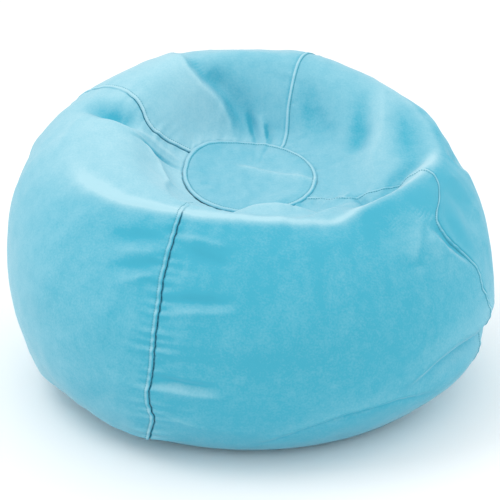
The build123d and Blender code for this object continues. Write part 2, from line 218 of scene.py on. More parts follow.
def smooth_line(pairs, places):
    """Values along a line given at a few places, with the corners eased."""
    at, value = zip(*pairs)
    fine = np.linspace(0, 1, line_steps)
    line = np.interp(fine, at, value)
    for _ in range(easing_passes):
        line[1:-1] = (line[:-2] + 2 * line[1:-1] + line[2:]) / 4
    return np.interp(places, fine, line)


seam_azimuths = np.array([smooth_line(line, row_shares) for line in seam_lines.values()])
next_azimuths = np.concatenate([seam_azimuths[1:], seam_azimuths[:1] + 360])
ring_azimuths = np.concatenate(
    [
        start + np.arange(count)[:, None] / count * (end - start)
        for start, end, count in zip(seam_azimuths, next_azimuths, columns_per_panel)
    ]
)
cap_reach_fades = 0.09
cap_reach = (
    (-180, 0.005), (-165, 0.001), (-150, 0), (-60, 0), (-37, 0.004), (-15, 0), (60, 0), (75, 0.006),
    (95, 0.008), (106, 0.013), (116, 0.021), (128, 0.027), (140, 0.026), (152, 0.019), (166, 0.010),
    (180, 0.005),
)
facing_azimuths = np.mod(ring_azimuths + 180, 360) - 180
near_cap = np.exp(-((row_shares / cap_reach_fades) ** 2))
ring_shares = row_shares + np.interp(facing_azimuths, *zip(*cap_reach)) * near_cap
seam_columns = np.concatenate([[0], np.cumsum(columns_per_panel)[:-1]])
ring = form_at(ring_azimuths, ring_shares)

# The cover is first tried as real cloth: drawn in along its seams, slack between them,
# with the beads pressing out. The wrinkles that this makes are kept, and not the swelling.
ring_count = len(ring)
join_distance = 0.00002
drape_frames = 20
fine_passes, broad_passes = 3, 50
wrinkle_share = 0.3
wrinkle_limit = 0.0025


def join_edges(mesh):
    """Joins the points of a mesh that lie on each other."""
    shape = bmesh.new()
    shape.from_mesh(mesh)
    bmesh.ops.remove_doubles(shape, verts=shape.verts, dist=join_distance)
    shape.to_mesh(mesh)
    shape.free()


def cloth_object(name, points, material=None, closed=False, fade=None, shade=None):
    """A grid of cloth laid through points, its columns going round and its rows going down."""
    across, down = points.shape[:2]
    shape = bmesh.new()
    shape.loops.layers.uv.new("UVMap")
    bmesh.ops.create_grid(shape, x_segments=across - 1, y_segments=down - 1, size=0.5, calc_uvs=True)
    mesh = bpy.data.meshes.new(name)
    shape.to_mesh(mesh)
    shape.free()
    laid = np.ascontiguousarray(points[:, ::-1].transpose(1, 0, 2), dtype=np.float32)
    mesh.vertices.foreach_set("co", laid.ravel())
    mesh.update()
    for attribute, values in (("fade", fade), ("shade", shade)):
        if values is not None:
            spread = np.ascontiguousarray(values[:, ::-1].T, dtype=np.float32)
            mesh.attributes.new(attribute, "FLOAT", "POINT").data.foreach_set("value", spread.ravel())
    if closed:
        join_edges(mesh)
    mesh.shade_smooth()
    if material is not None:
        mesh.materials.append(material)
    return placed(name, mesh)


def blurred(grid, times):
    """A ring's values evened out with their neighbours round it and along it, ends kept."""
    for _ in range(times):
        grid = (np.roll(grid, 1, axis=0) + 2 * grid + np.roll(grid, -1, axis=0)) / 4
        inner = (grid[:, :-2] + 2 * grid[:, 1:-1] + grid[:, 2:]) / 4
        grid = np.concatenate([grid[:, :1], inner, grid[:, -1:]], axis=1)
    return grid


# each point keeps its place in the ring, because joining the edges numbers them anew
drape = cloth_object("cover_drape", np.concatenate([ring, ring[:1]]))
order = np.arange(ring_count * rows).reshape(ring_count, rows)
order = np.concatenate([order, order[:1]])[:, ::-1].T.ravel()
drape.data.attributes.new("place", "INT", "POINT").data.foreach_set("value", order.astype(np.int32))
join_edges(drape.data)
order = np.zeros(len(drape.data.vertices), dtype=np.int32)
drape.data.attributes["place"].data.foreach_get("value", order)
# the cap's edge and the base seam are held, and the side seams draw in
held = np.nonzero((order % rows < 1) | (order % rows > rows - 2))[0]
sewn = np.nonzero(np.isin(order // rows, np.concatenate([seam_columns, seam_columns + 1])))[0]
drape.vertex_groups.new(name="held").add(held.tolist(), 1, "REPLACE")
drape.vertex_groups.new(name="sewn").add(sewn.tolist(), 1, "REPLACE")
suede_cloth = drape.modifiers.new("cloth", "CLOTH")
give = suede_cloth.settings
give.quality = 6
give.mass = 0.3
give.tension_stiffness = 25
give.compression_stiffness = 25
give.shear_stiffness = 10
give.bending_stiffness = 3
give.vertex_group_mass = "held"
give.vertex_group_shrink = "sewn"
give.shrink_min = -0.006
give.shrink_max = 0.05
give.use_pressure = True
give.uniform_pressure_force = 3
give.effector_weights.gravity = 0.3
suede_cloth.collision_settings.use_collision = False
for moment in range(1, drape_frames + 1):
    bpy.context.scene.frame_set(moment)
# how far the cloth has moved, in the ring's own order
settled = drape.evaluated_get(bpy.context.evaluated_depsgraph_get()).data
found = np.zeros(3 * len(order), dtype=np.float32)
settled.vertices.foreach_get("co", found)
moved = np.zeros((ring_count * rows, 3))
moved[order] = found.reshape(-1, 3)
moved = moved.reshape(ring.shape) - ring
bpy.context.scene.frame_set(1)
bpy.data.objects.remove(drape)
wrinkles = blurred(moved, fine_passes) - blurred(moved, broad_passes)
wrinkle_size = np.linalg.norm(wrinkles, axis=-1, keepdims=True)
ring = ring + wrinkle_share * wrinkles * np.minimum(1, wrinkle_limit / np.maximum(wrinkle_size, 1e-9))

# Folds of the slumped cover, each a crest, a dent or a swell along a line of (azimuth, share)
# points: its height, how far it reaches on its left and right, and the painted light on its left
# and right, which is painted shade where it is below zero.
crest_round = 0.003
fold_steps = 60
fold_reach = 3.5
blend_share, blend_least = 0.15, 0.000004
side_blend, painted_light_blend = 0.006, 0.003
painted_light_spread = 1.3
unevenness = ((0.003, 9, 3.1), (0.0012, 26, 7.7))
uneven_from, folds_end = 0.06, 0.03
folds = (
    # the taut crest of the rim, from the left shoulder round the front, dipping, and up to the right
    (
        "crest",
        ((-156, 0.34), (-136, 0.307), (-126, 0.273), (-115, 0.253), (-94, 0.225), (-68, 0.25)),
        0.004, 0.020, 0.040,
    ),
    ("dent", ((-80, 0.25), (-64, 0.275), (-50, 0.275)), -0.013, 0.032, 0.032),
    ("crest", ((-62, 0.29), (-42, 0.270), (-23, 0.282), (-10, 0.288), (4, 0.33)), 0.014, 0.014, 0.036),
    # the trough inside it on the right, and the cloth bunched up in front of the cap
    (
        "dent",
        ((-46, 0.20), (-34, 0.215), (-11, 0.223), (-2, 0.268), (4, 0.30)),
        -0.010, 0.018, 0.010, -0.15, -0.10,
    ),
    (
        "crest",
        ((-46, 0.03), (-33, 0.02), (-34, 0.067), (-28, 0.095), (-16, 0.10)),
        0.006, 0.007, 0.008, 0.05, 0.10,
    ),
    ("crest", ((-66, 0.20), (-56, 0.19), (-46, 0.16), (-30, 0.13)), 0.010, 0.010, 0.016, 0.05, 0.10),
    ("swell", ((-106, 0.10), (-88, 0.085), (-66, 0.08), (-48, 0.11)), 0.036, 0.026, 0.036, 0.24, 0.30),
    ("dent", ((-20, 0.10), (-31, 0.17), (-40, 0.235)), -0.008, 0.008, 0.008, -0.20, -0.20),
    # the ridge in the back with a dent on its right, and puckers above the cap
    (
        "crest",
        ((118, 0.38), (123, 0.27), (126, 0.19), (121, 0.148), (110, 0.104), (105, 0.065), (104, 0.0)),
        0.016, 0.012, 0.050, -0.05, 0.20,
    ),
    (
        "dent",
        ((124, 0.30), (116, 0.17), (109, 0.14), (98, 0.077), (88, 0.02)),
        -0.014, 0.026, 0.016, -0.26, -0.34,
    ),
    ("crest", ((85, 0.08), (76, 0.0)), 0.005, 0.005, 0.006, 0.12, 0.12),
    ("dent", ((92, 0.09), (84, 0.0)), -0.006, 0.006, 0.006, -0.20, -0.20),
    ("dent", ((80, 0.06), (72, 0.0)), -0.005, 0.005, 0.005, -0.20, -0.20),
    ("dent", ((114, 0.28), (102, 0.286), (90, 0.288), (78, 0.287), (68, 0.29)), -0.008, 0.050, 0.050),
    # the ridge on the left of the seat, the deep dent between it and the seam, and a tuck
    (
        "crest",
        (
            (167, 0.30), (176, 0.241), (182, 0.18), (183, 0.124), (188, 0.08), (204, 0.07),
            (222, 0.14), (243, 0.243),
        ),
        0.008, 0.016, 0.060, -0.10, 0.06,
    ),
    (
        "dent",
        ((167, 0.31), (174, 0.241), (176, 0.195), (172, 0.14)),
        -0.017, 0.026, 0.012, -0.70, -0.60,
    ),
    (
        "dent",
        ((185, 0.18), (180, 0.106), (175, 0.06), (170, 0.0)),
        -0.007, 0.0040, 0.0040, -0.50, -0.50,
    ),
    ("crest", ((178, 0.167), (171, 0.10), (166, 0.044), (163, 0.0)), 0.005, 0.005, 0.005, 0.12, 0.12),
    ("crest", ((171, 0.29), (182, 0.32), (192, 0.37)), 0.004, 0.025, 0.025),
    # the right of the back: a broad ridge between shallow dents
    (
        "crest",
        ((46, 0.34), (28, 0.241), (20, 0.205), (9, 0.158), (-14, 0.14)),
        0.008, 0.026, 0.026, 0.30, 0.30,
    ),
    ("dent", ((40, 0.25), (28, 0.18), (19, 0.135), (15, 0.10)), -0.007, 0.015, 0.018, -0.36, -0.36),
    ("dent", ((30, 0.32), (19, 0.275), (8, 0.25), (-1, 0.227)), -0.005, 0.024, 0.024, -0.36, -0.36),
    ("crest", ((38, 0.37), (25, 0.375), (14, 0.345)), 0.008, 0.020, 0.030, 0.18, 0.10),
    ("dent", ((60, 0.20), (54, 0.12), (44, 0.095), (30, 0.105)), -0.007, 0.020, 0.020, -0.20, -0.20),
    # the nip in the outline at the end of the rim's crest
    ("dent", ((4, 0.37), (9, 0.40), (13, 0.43), (20, 0.47)), -0.016, 0.019, 0.019),
    # the pointed bulge of the front panel under the right seam, and the hollows round it
    (
        "crest",
        ((-28, 0.36), (-36, 0.405), (-36, 0.436), (-34, 0.48), (-30, 0.522), (-20, 0.59)),
        0.010, 0.012, 0.040, 0.05, 0.14,
    ),
    ("crest", ((-32, 0.36), (-38, 0.386), (-44, 0.45), (-45, 0.48)), 0.006, 0.014, 0.030, 0.08, 0.10),
    ("dent", ((-34, 0.40), (-32, 0.45), (-29, 0.50), (-24, 0.57)), -0.005, 0.008, 0.008, -0.10, -0.10),
    (
        "dent",
        ((-15, 0.35), (-25, 0.411), (-26, 0.463), (-20, 0.54)),
        -0.004, 0.026, 0.018, -0.40, -0.30,
    ),
    ("dent", ((-8, 0.36), (-12, 0.411), (-12, 0.47), (-8, 0.55)), -0.010, 0.050, 0.045),
    (
        "crest",
        ((-52, 0.79), (-44, 0.725), (-36, 0.706), (-24, 0.715), (-8, 0.735), (10, 0.74)),
        0.006, 0.030, 0.010, 0.06, 0.10,
    ),
    (
        "dent",
        ((-52, 0.81), (-42, 0.765), (-32, 0.755), (-13, 0.785), (4, 0.80)),
        -0.015, 0.012, 0.026, -0.15, -0.10,
    ),
    # the roll of cloth over the base seam, low on the right
    (
        "crest",
        ((-90, 0.95), (-78, 0.872), (-68, 0.826), (-56, 0.815), (-40, 0.85)),
        0.004, 0.014, 0.004, 0.04, 0.0,
    ),
    (
        "dent",
        ((-90, 0.965), (-78, 0.886), (-68, 0.838), (-56, 0.827), (-40, 0.86)),
        -0.005, 0.003, 0.006, -0.40, -0.30,
    ),
    # creases that run out from the front seam on both sides
    ("crest", ((-128, 0.43), (-120, 0.409), (-112, 0.396)), 0.005, 0.009, 0.011, 0.08, 0.08),
    ("crest", ((-124, 0.51), (-118, 0.475), (-112, 0.445)), 0.005, 0.009, 0.011, 0.08, 0.08),
    ("dent", ((-128, 0.47), (-112, 0.428)), -0.004, 0.010, 0.010, -0.12, -0.12),
    ("dent", ((-132, 0.40), (-113, 0.337)), -0.005, 0.012, 0.012, -0.15, -0.15),
    ("crest", ((-112, 0.335), (-104, 0.345), (-94, 0.357)), 0.005, 0.008, 0.010, 0.12, 0.08),
    ("dent", ((-112, 0.37), (-102, 0.387), (-94, 0.415)), -0.006, 0.011, 0.013, -0.10, -0.10),
    ("dent", ((-111, 0.51), (-103, 0.508), (-92, 0.508)), -0.006, 0.011, 0.012, -0.10, -0.10),
    ("crest", ((-111, 0.55), (-103, 0.535), (-92, 0.525)), 0.004, 0.009, 0.012, 0.10, 0.10),
    ("dent", ((-114, 0.73), (-106, 0.735), (-96, 0.74)), -0.006, 0.008, 0.012, -0.10, -0.10),
    ("crest", ((-115, 0.752), (-106, 0.758), (-95, 0.768)), 0.005, 0.008, 0.012, 0.14, 0.10),
    ("crest", ((-113, 0.835), (-107, 0.86), (-99, 0.89)), 0.003, 0.004, 0.006, 0.06, 0.06),
    # the pinch low on the left, and the corner at the foot of the front seam
    ("dent", ((198, 0.86), (186, 0.80), (172, 0.78)), -0.008, 0.014, 0.030),
    ("crest", ((212, 0.93), (198, 0.92), (182, 0.91)), 0.009, 0.020, 0.030),
    ("crest", ((-140, 0.95), (-122, 0.965), (-106, 0.95)), 0.008, 0.030, 0.030),
    # narrow edges on the sharpest crests, each carrying a painted highlight along it
    (
        "crest",
        ((171, 0.275), (180, 0.206), (183, 0.124), (188, 0.08), (204, 0.07), (236, 0.20)),
        0.001, 0.004, 0.004, 0.25, 0.25,
    ),
    (
        "crest",
        ((-158, 0.335), (-136, 0.307), (-126, 0.273), (-110, 0.245)),
        0.001, 0.004, 0.005, 0.22, 0.22,
    ),
    (
        "crest",
        ((118, 0.32), (126, 0.19), (121, 0.148), (110, 0.104), (104, 0.03)),
        0.001, 0.004, 0.004, 0.25, 0.25,
    ),
    # slack creases round the back and the far sides
    ("crest", ((58, 0.42), (72, 0.45), (90, 0.44), (104, 0.47)), 0.006, 0.016, 0.030),
    ("dent", ((60, 0.47), (76, 0.50), (92, 0.49)), -0.007, 0.014, 0.024),
    ("dent", ((112, 0.70), (128, 0.74), (146, 0.72)), -0.009, 0.014, 0.030),
    ("crest", ((110, 0.75), (128, 0.79), (148, 0.77)), 0.006, 0.014, 0.030),
    ("dent", ((20, 0.66), (38, 0.70), (56, 0.69)), -0.009, 0.014, 0.030),
    ("crest", ((18, 0.71), (38, 0.75), (58, 0.74)), 0.006, 0.014, 0.030),
    ("crest", ((150, 0.42), (158, 0.47), (170, 0.50)), 0.006, 0.014, 0.026),
)


def one_fold(points, normals, kind, line, height, left, right, left_painted_light=0, right_painted_light=0):
    """How far a fold lifts each point, and the painted light and shade it puts there. A crest has an
    edge, a dent or a swell is round.
    """
    # the fold's line on the plain form
    places = np.linspace(0, 1, fold_steps)
    at = np.linspace(0, 1, len(line))
    azimuth = smooth_line([(a, p[0]) for a, p in zip(at, line)], places)
    share = smooth_line([(a, p[1]) for a, p in zip(at, line)], places)
    path = form_at(azimuth, share)
    heading = np.gradient(path, axis=0)
    heading /= np.linalg.norm(heading, axis=-1, keepdims=True)
    rise, tone = np.zeros(points.shape[:2]), np.zeros(points.shape[:2])
    flat, facing = points.reshape(-1, 3), normals.reshape(-1, 3)
    # how far off the line each point near it is, blended so that a bend makes no jump
    reach = fold_reach * max(left, right)
    inside = (flat > path.min(0) - reach) & (flat < path.max(0) + reach)
    chosen = np.nonzero(np.all(inside, axis=1))[0]
    square = ((flat[chosen][:, None] - path[None]) ** 2).sum(-1)
    nearest = np.argmin(square, axis=1)
    least = square[np.arange(len(chosen)), nearest][:, None]
    weight = np.exp((least - square) / (blend_share * least + blend_least))
    weight /= weight.sum(1, keepdims=True)
    away = np.sqrt((weight * square).sum(1))
    # how far it reaches on that side, and its shape across, dying away to both ends
    side = (np.cross(heading[nearest], facing[chosen]) * (flat[chosen] - path[nearest])).sum(-1)
    rightward = 0.5 + 0.5 * np.tanh(side / side_blend)
    spread = left + (right - left) * rightward
    eased = np.hypot(away, crest_round) - crest_round
    profile = np.exp(-eased / spread) if kind == "crest" else np.exp(-((away / spread) ** 2))
    fade = weight @ np.sin(np.pi * np.clip(places, 0.02, 0.98))
    rise.reshape(-1)[chosen] = height * fade * profile
    # painted light on one side of the fold and painted shade on the other, by the sign of each
    fold_painted_light = left_painted_light + (right_painted_light - left_painted_light) * (0.5 + 0.5 * np.tanh(side / painted_light_blend))
    tone.reshape(-1)[chosen] = fold_painted_light * fade * np.exp(-((away / (painted_light_spread * spread)) ** 2))
    return rise, tone


def normals_of(points, closed=False):
    """Outward normals of a grid of columns and rows, which may close on itself as a ring."""
    if closed:
        around = np.roll(points, -1, axis=0) - np.roll(points, 1, axis=0)
    else:
        around = np.gradient(points, axis=0)
    normal = np.cross(np.gradient(points, axis=1), around)
    return normal / np.maximum(np.linalg.norm(normal, axis=-1, keepdims=True), 1e-12)


def rough(points, scale, seed):
    """Smooth noise from -1 to 1 at each point."""
    flat = points.reshape(-1, 3) * scale + seed
    return np.array([noise.noise(Vector(p)) for p in flat]).reshape(points.shape[:-1])


def all_folds(points, normals, shares):
    """How far the folds and the cloth's own unevenness lift each point, and the painted light and shade
    of the folds.
    """
    lift, tone = np.sum([one_fold(points, normals, *fold) for fold in folds], axis=0)
    ends = np.clip(np.minimum(shares, 1 - shares) / uneven_from, 0, 1)
    for height, scale, seed in unevenness:
        lift = lift + height * rough(points, scale, seed) * ends
    return lift * np.clip((1 - shares) / folds_end, 0, 1), tone


smooth_ring, smooth_facing = ring, normals_of(ring, closed=True)
ring = ring + all_folds(ring, smooth_facing, ring_shares)[0][..., None] * smooth_facing

# Painted light on the cover: a painted highlight on the seat inside the crest of the rim, most on
# its left, and a narrow one along the crest itself. The sides keep their colour, but for painted
# light on the left side.
rim_crest = (
    (-180, 0.33), (-156, 0.32), (-136, 0.300), (-126, 0.275), (-115, 0.255), (-94, 0.230),
    (-68, 0.250), (-58, 0.270), (-40, 0.250), (-24, 0.268), (-8, 0.284), (8, 0.33), (40, 0.33),
    (140, 0.33), (180, 0.33),
)
seat_highlight, seat_highlight_left = 0.29, 0.24
side_painted_light, side_painted_light_left = -0.06, 0.30
crest_highlight, crest_highlight_width = 0.55, 0.022
flatten_passes = 60


def step(low, high, value):
    """A smooth step from 0 to 1 between two values."""
    t = np.clip((value - low) / (high - low), 0, 1)
    return t * t * (3 - 2 * t)


def hump(middle, width, value):
    """A smooth hump of height 1."""
    return np.exp(-(((value - middle) / width) ** 2))


ring_facing = normals_of(ring, closed=True)
past_crest = ring_shares - np.interp(facing_azimuths, *zip(*rim_crest))
leftward = np.maximum(-np.cos(np.radians(ring_azimuths)), 0)
soft = step(0.75, 1, leftward)
seat = 1 - step(-0.008 - 0.04 * soft, 0.020 + 0.16 * soft, past_crest)
ring_painted_light = seat * (seat_highlight + seat_highlight_left * leftward)
ring_painted_light = ring_painted_light + (1 - seat) * (side_painted_light + side_painted_light_left * leftward**2)
crest_highlight_span = step(-172, -135, facing_azimuths) * (1 - step(-4, 10, facing_azimuths))
ring_painted_light = ring_painted_light + crest_highlight * crest_highlight_span * hump(0.004, crest_highlight_width, past_crest)
broad_facing = normals_of(blurred(ring, flatten_passes), closed=True)

# The beads: loose white polystyrene balls, about 4 mm across, that take the
# shape of the liner round them and are poured in through its zip.
fill_depth = 0.011
heap_bottom = 0.026
bottom_share = 0.82


def pattern(tree, kind, scale):
    """A texture of one kind, laid through the object."""
    place = tree.nodes.new("ShaderNodeTexCoord")
    texture = tree.nodes.new("ShaderNodeTex" + kind)
    texture.inputs["Scale"].default_value = scale
    tree.links.new(place.outputs["Object"], texture.inputs["Vector"])
    return texture


def two_tones(tree, value, low, dark, high, light):
    """A colour that goes from dark to light as a value goes from low to high."""
    ramp = tree.nodes.new("ShaderNodeValToRGB")
    ramp.color_ramp.elements[0].position = low
    ramp.color_ramp.elements[0].color = (*dark, 1)
    ramp.color_ramp.elements[1].position = high
    ramp.color_ramp.elements[1].color = (*light, 1)
    tree.links.new(value, ramp.inputs["Fac"])
    return ramp.outputs["Color"]


def relief_bump(tree, height, strength, distance):
    """Turns a height into a bump on a material's shader."""
    bump = tree.nodes.new("ShaderNodeBump")
    bump.inputs["Strength"].default_value = strength
    bump.inputs["Distance"].default_value = distance
    tree.links.new(height, bump.inputs["Height"])
    tree.links.new(bump.outputs["Normal"], tree.nodes["Principled BSDF"].inputs["Normal"])


beads, tree, shader = shader_of("white_beads")
# painted shade between the balls: the white darkens to grey towards each ball's edge
balls = pattern(tree, "Voronoi", 260).outputs["Distance"]
tone = two_tones(tree, balls, 0.2, (0.86, 0.86, 0.84), 0.75, (0.45, 0.45, 0.44))
tree.links.new(tone, shader.inputs["Base Color"])
relief_bump(tree, balls, 0.8, -0.002)
shader.inputs["Roughness"].default_value = 0.6

fill_side = (ring - fill_depth * ring_facing)[::2, ::2]
fill_side = np.concatenate([fill_side, fill_side[:1]])
fill_shares = np.linspace(0, 0.97, 12)[None, :, None]
top_middle = np.array([0, 0, cap_middle - fill_depth])
fill_top = top_middle + fill_shares * (fill_side[:, :1] - top_middle)
bottom_middle = np.array([0, 0, heap_bottom])
bottom_edge = fill_side[:, -1:] * np.array([bottom_share, bottom_share, 0]) + bottom_middle
fill_bottom = bottom_middle + fill_shares[:, ::-1] * (bottom_edge - bottom_middle)
heap = np.concatenate([fill_top, fill_side, bottom_edge, fill_bottom], axis=1)
fill = cloth_object("bead_fill_heap", heap, beads, closed=True)
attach(fill, "bag")
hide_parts("bead_fill")

# The liner: a thin white woven bag that holds the beads, sewn from two side
# halves, a round top and a two-piece base with a zip of its own.
liner_depth = 0.0075
liner_cloth = 0.0006
liner_columns = 91
liner_rows = np.linspace(0, rows - 1, 56).round().astype(int)


def cubic_shares(t):
    """The shares of four neighbours in a smooth curve through them, at t past the second."""
    return (
        -0.5 * t + t**2 - 0.5 * t**3,
        1 - 2.5 * t**2 + 1.5 * t**3,
        0.5 * t + 2 * t**2 - 1.5 * t**3,
        -0.5 * t**2 + 0.5 * t**3,
    )


def between(grid, column, row):
    """Points of a closed ring between its columns and rows, drawn straight on past its ends."""
    i = np.floor(column).astype(int)
    held = np.clip(row, 0, rows - 1)
    j = np.clip(np.floor(held).astype(int), 0, rows - 2)
    across, down = cubic_shares(column - i), cubic_shares(held - j)
    total = 0
    for a in range(4):
        for b in range(4):
            share = (across[a] * down[b])[..., None]
            total = total + share * grid[(i + a - 1) % ring_count, np.clip(j + b - 1, 0, rows - 1)]
    slope = grid[i % ring_count, j + 1] - grid[i % ring_count, j]
    return total + (row - held)[..., None] * slope


def column_at(azimuth, row):
    """The ring's column, with its fraction, that stands at an azimuth in one row."""
    line = ring_azimuths[:, row]
    line = np.concatenate([line, line + 360])
    turn = line[0] + np.mod(azimuth - line[0], 360)
    return np.interp(turn, line, np.arange(2 * ring_count))


def grain(tree, scale, detail):
    """Noise laid through the object."""
    texture = pattern(tree, "Noise", scale)
    texture.inputs["Detail"].default_value = detail
    return texture.outputs["Fac"]


def thicken(piece, thickness):
    """Gives a sheet its thickness, inwards."""
    wall = piece.modifiers.new("thickness", "SOLIDIFY")
    wall.thickness = thickness
    wall.offset = -1


liner_weave, tree, shader = shader_of("white_liner_weave")
patches = grain(tree, 30, 4)
tone = two_tones(tree, patches, 0.3, (0.72, 0.73, 0.72), 0.7, (0.84, 0.84, 0.82))
tree.links.new(tone, shader.inputs["Base Color"])
threads = pattern(tree, "Wave", 420)
relief_bump(tree, threads.outputs["Fac"], 0.4, 0.0003)
shader.inputs["Roughness"].default_value = 0.75

liner_ring = ring - liner_depth * ring_facing
for name, start in (("liner_back_half", 0), ("liner_front_half", 180)):
    azimuths = start + np.linspace(0, 180, liner_columns)
    columns = np.stack([column_at(azimuths, row) for row in liner_rows], axis=1)
    half = between(liner_ring, columns, np.broadcast_to(liner_rows, columns.shape).astype(float))
    liner_half = cloth_object(name + "_cloth", half, liner_weave)
    thicken(liner_half, liner_cloth)
    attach(liner_half, "bag")
    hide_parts(name)

azimuths = np.linspace(0, 360, liner_columns)
liner_rim = between(liner_ring, column_at(azimuths, 0), np.zeros(liner_columns))
liner_middle = np.array([0, 0, cap_middle - liner_depth])
disc_shares = np.linspace(0, 1, 14)[None, :, None]
liner_disc = liner_middle + disc_shares * (liner_rim[:, None] - liner_middle)
liner_top = cloth_object("liner_top_cloth", liner_disc, liner_weave, closed=True)
thicken(liner_top, liner_cloth)
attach(liner_top, "bag")
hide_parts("liner_top")

# The base of the cover: two half rounds of brushed suede, sewn to the zip between
# them, that turn up into the sides. A hollow along the middle keeps the zip off the floor.
bend_radius = 0.085
base_slope = math.acos(1 - base_edge / bend_radius)
flat_radius = base_radius - bend_radius * math.sin(base_slope)
tape_low, tape_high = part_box("zip_tape_back")
hollow_depth = tape_low.z - cloth
hollow_reach = tape_high.x + 0.022
hollow_half = tape_high.y + 0.002
slot_reach = tape_high.x - 0.004
slot_half = 0.004
slot_taper = 0.004
lip_clear, lip_fade = 0.0002, 8
base_lift = 0.0004
base_crumple = 0.0010
base_fade = 0.12


def hollow(x, y, reach, half, depth):
    """The rise over a zip: full over it, falling away round it at about 45 degrees."""
    out = np.hypot(np.maximum(np.abs(x) - reach, 0), np.maximum(np.abs(y) - half, 0))
    return depth * step(0, 1, 1 - out / depth)


def base_level(x, y):
    """How high the base's under face stands at a place."""
    out = np.clip(np.hypot(x, y) - flat_radius, 0, bend_radius)
    bend = bend_radius - np.sqrt(bend_radius**2 - out**2)
    return bend + hollow(x, y, hollow_reach, hollow_half, hollow_depth)


def disc_grid(columns, across, radius):
    """A grid over a disc, or over the part of it that shares of -1 to 1 each way take in."""
    u, v = np.meshgrid(columns, across, indexing="ij")
    return radius * u * np.sqrt(1 - v**2 / 2), radius * v * np.sqrt(1 - u**2 / 2)


suede_deep, suede_pale = (0.058, 0.400, 0.540), (0.385, 0.650, 0.735)
gap_shade_colour = (0.003, 0.090, 0.170)
mottle_scale, nap_scale, pile_scale = 60, 330, 1500
cover_suede, tree, shader = shader_of("sky_blue_suede")
# the fade attribute: painted light and painted shade on the panels and the cap, an even tone on the base
tone_and_painted_light = tree.nodes.new("ShaderNodeAttribute")
tone_and_painted_light.attribute_name = "fade"
both = tree.nodes.new("ShaderNodeMix")
both.inputs["Factor"].default_value = 0.6
tree.links.new(grain(tree, mottle_scale, 4), both.inputs["A"])
tree.links.new(grain(tree, nap_scale, 3), both.inputs["B"])
mottle_and_painted_light = tree.nodes.new("ShaderNodeMath")
mottle_and_painted_light.operation = "MULTIPLY_ADD"
mottle_and_painted_light.inputs[1].default_value = 0.55
tree.links.new(both.outputs["Result"], mottle_and_painted_light.inputs[0])
tree.links.new(tone_and_painted_light.outputs["Fac"], mottle_and_painted_light.inputs[2])
tones = two_tones(tree, mottle_and_painted_light.outputs["Value"], 0.18, suede_deep, 1, suede_pale)
# painted shade in the seams' gaps, mixed in as a dark colour by the shade attribute
in_gap = tree.nodes.new("ShaderNodeAttribute")
in_gap.attribute_name = "shade"
shaded = tree.nodes.new("ShaderNodeMixRGB")
shaded.inputs["Color2"].default_value = (*gap_shade_colour, 1)
tree.links.new(in_gap.outputs["Fac"], shaded.inputs["Fac"])
tree.links.new(tones, shaded.inputs["Color1"])
tree.links.new(shaded.outputs["Color"], shader.inputs["Base Color"])
relief_bump(tree, grain(tree, pile_scale, 2), 0.35, 0.0006)
shader.inputs["Roughness"].default_value = 0.95
shader.inputs["Specular IOR Level"].default_value = 0.15
shader.inputs["Sheen Weight"].default_value = 0.35
shader.inputs["Sheen Roughness"].default_value = 0.4
shader.inputs["Sheen Tint"].default_value = (1, 1, 1, 1)

edge_steps = np.array([0, 0.7, 1.5, 2.4, 3.4, 4.5, 5.6, 6.7, 8, 10, 13, 17, 22]) / 1000 / base_radius
columns = np.concatenate([-1 + edge_steps, np.linspace(-0.91, 0.91, 130), 1 - edge_steps[::-1]])
near_zip = np.arange(0, 36, 1.5) / 1000 / base_radius
across = np.concatenate([near_zip, np.linspace(0.13, 0.91, 70), 1 - edge_steps[::-1]])
for name, side in (("base_back_half", 1), ("base_front_half", -1)):
    x, y = disc_grid(columns, across, base_radius)
    lip = slot_half * (1 - step(slot_reach - slot_taper, slot_reach, np.abs(x))) + lip_clear
    y = y + lip * (1 - y / base_radius) ** lip_fade * (np.abs(x) < base_radius)
    sheet = np.stack([side * x, side * y, base_level(x, y) + base_lift], axis=-1)
    from_edge = base_radius - np.hypot(x, y)
    crumple = base_crumple * rough(sheet, 40, 15.0 + side)
    crumple = crumple * step(0, 0.03, from_edge) * step(0.03, 0.06, y)
    sheet[..., 2] += np.abs(crumple) * 0.6
    base_half = cloth_object(name + "_cloth", sheet, cover_suede, fade=np.full(x.shape, base_fade))
    thicken(base_half, cloth)
    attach(base_half, "bag")
    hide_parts(name)

